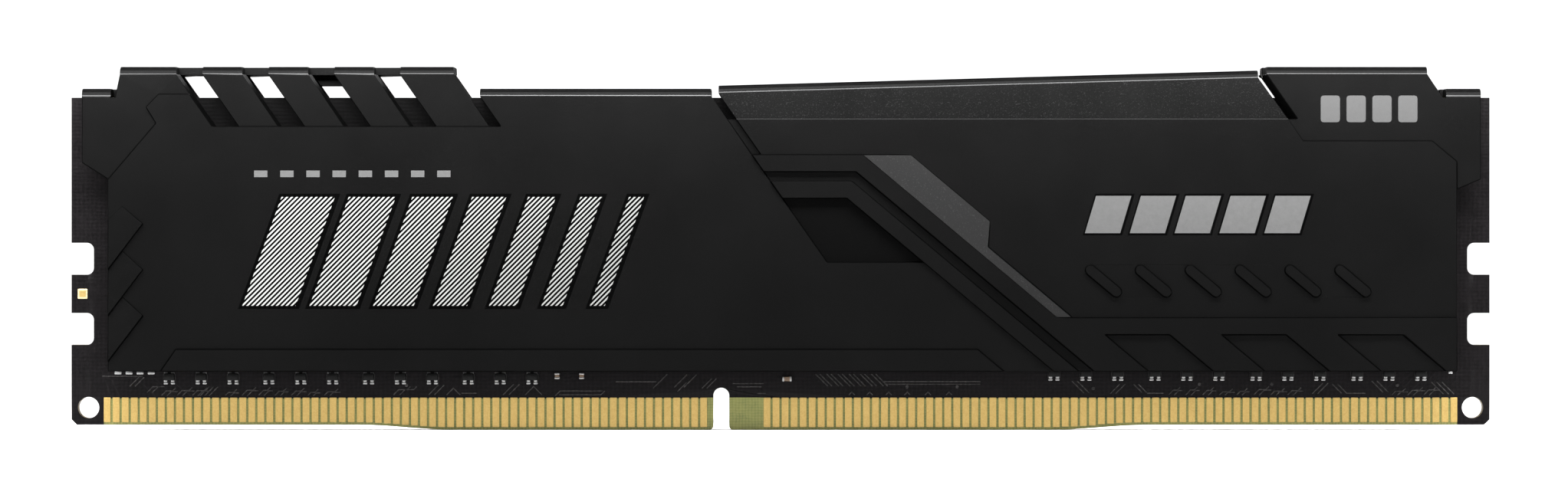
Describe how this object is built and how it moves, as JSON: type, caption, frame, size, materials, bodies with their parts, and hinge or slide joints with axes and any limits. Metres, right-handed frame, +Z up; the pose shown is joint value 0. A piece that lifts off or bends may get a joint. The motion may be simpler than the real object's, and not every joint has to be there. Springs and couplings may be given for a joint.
{
  "type": "ram module",
  "caption": "Desktop memory module: notched circuit board with a gold contact edge, held between two black sheet-metal heat spreaders with slots, stripes and bent lips.",
  "frame": {"origin": "middle of the lowest contact edge, in the middle plane of the circuit board", "axes": "+X along the board towards the end with the solid upper corner, +Z up from the contact edge to the lips, -Y out of the front spreader with the pills"},
  "size_m": [0.1334, 0.0072, 0.0341],
  "materials": {
    "solder_mask": "semi-gloss black solder mask over laminate",
    "gold": "satin gold plating",
    "chip_resin": "matte moulded resin",
    "pad_silicone": "soft matte silicone",
    "resistor_body": "matte ceramic with glass coat",
    "capacitor_body": "matte ceramic",
    "black_aluminium": "fine matte black coat",
    "label_film": "satin film"
  },
  "bodies": {
    "root": {"circuit_board": "solder_mask", "contacts_front_left": "gold", "contacts_front_right": "gold", "contacts_rear_left": "gold", "contacts_rear_right": "gold", "memory_chip_front_1": "chip_resin", "memory_chip_front_2": "chip_resin", "memory_chip_front_3": "chip_resin", "memory_chip_front_4": "chip_resin", "memory_chip_front_5": "chip_resin", "memory_chip_front_6": "chip_resin", "memory_chip_front_7": "chip_resin", "memory_chip_front_8": "chip_resin", "memory_chip_rear_1": "chip_resin", "memory_chip_rear_2": "chip_resin", "memory_chip_rear_3": "chip_resin", "memory_chip_rear_4": "chip_resin", "memory_chip_rear_5": "chip_resin", "memory_chip_rear_6": "chip_resin", "memory_chip_rear_7": "chip_resin", "memory_chip_rear_8": "chip_resin", "thermal_pad_front_left": "pad_silicone", "thermal_pad_front_right": "pad_silicone", "thermal_pad_rear_left": "pad_silicone", "thermal_pad_rear_right": "pad_silicone", "resistor_pack_01": "resistor_body", "resistor_pack_02": "resistor_body", "resistor_pack_03": "resistor_body", "resistor_pack_04": "resistor_body", "resistor_pack_05": "resistor_body", "resistor_pack_06": "resistor_body", "resistor_pack_07": "resistor_body", "resistor_pack_08": "resistor_body", "resistor_pack_09": "resistor_body", "resistor_pack_10": "resistor_body", "resistor_pack_11": "resistor_body", "resistor_pack_12": "resistor_body", "resistor_pack_13": "resistor_body", "resistor_pack_14": "resistor_body", "resistor_pack_15": "resistor_body", "resistor_pack_16": "resistor_body", "resistor_pack_17": "resistor_body", "resistor_pack_18": "resistor_body", "resistor_pack_19": "resistor_body", "resistor_pack_20": "resistor_body", "resistor_pack_21": "resistor_body", "resistor_pack_22": "resistor_body", "resistor_pack_23": "resistor_body", "resistor_pack_24": "resistor_body", "capacitor_left": "capacitor_body", "capacitor_middle": "capacitor_body", "capacitor_right": "capacitor_body", "settings_eeprom": "chip_resin", "gold_test_pad": "gold", "heat_spreader_front": "black_aluminium", "heat_spreader_rear": "black_aluminium", "rear_label": "label_film"}
  },
  "joints": []
}
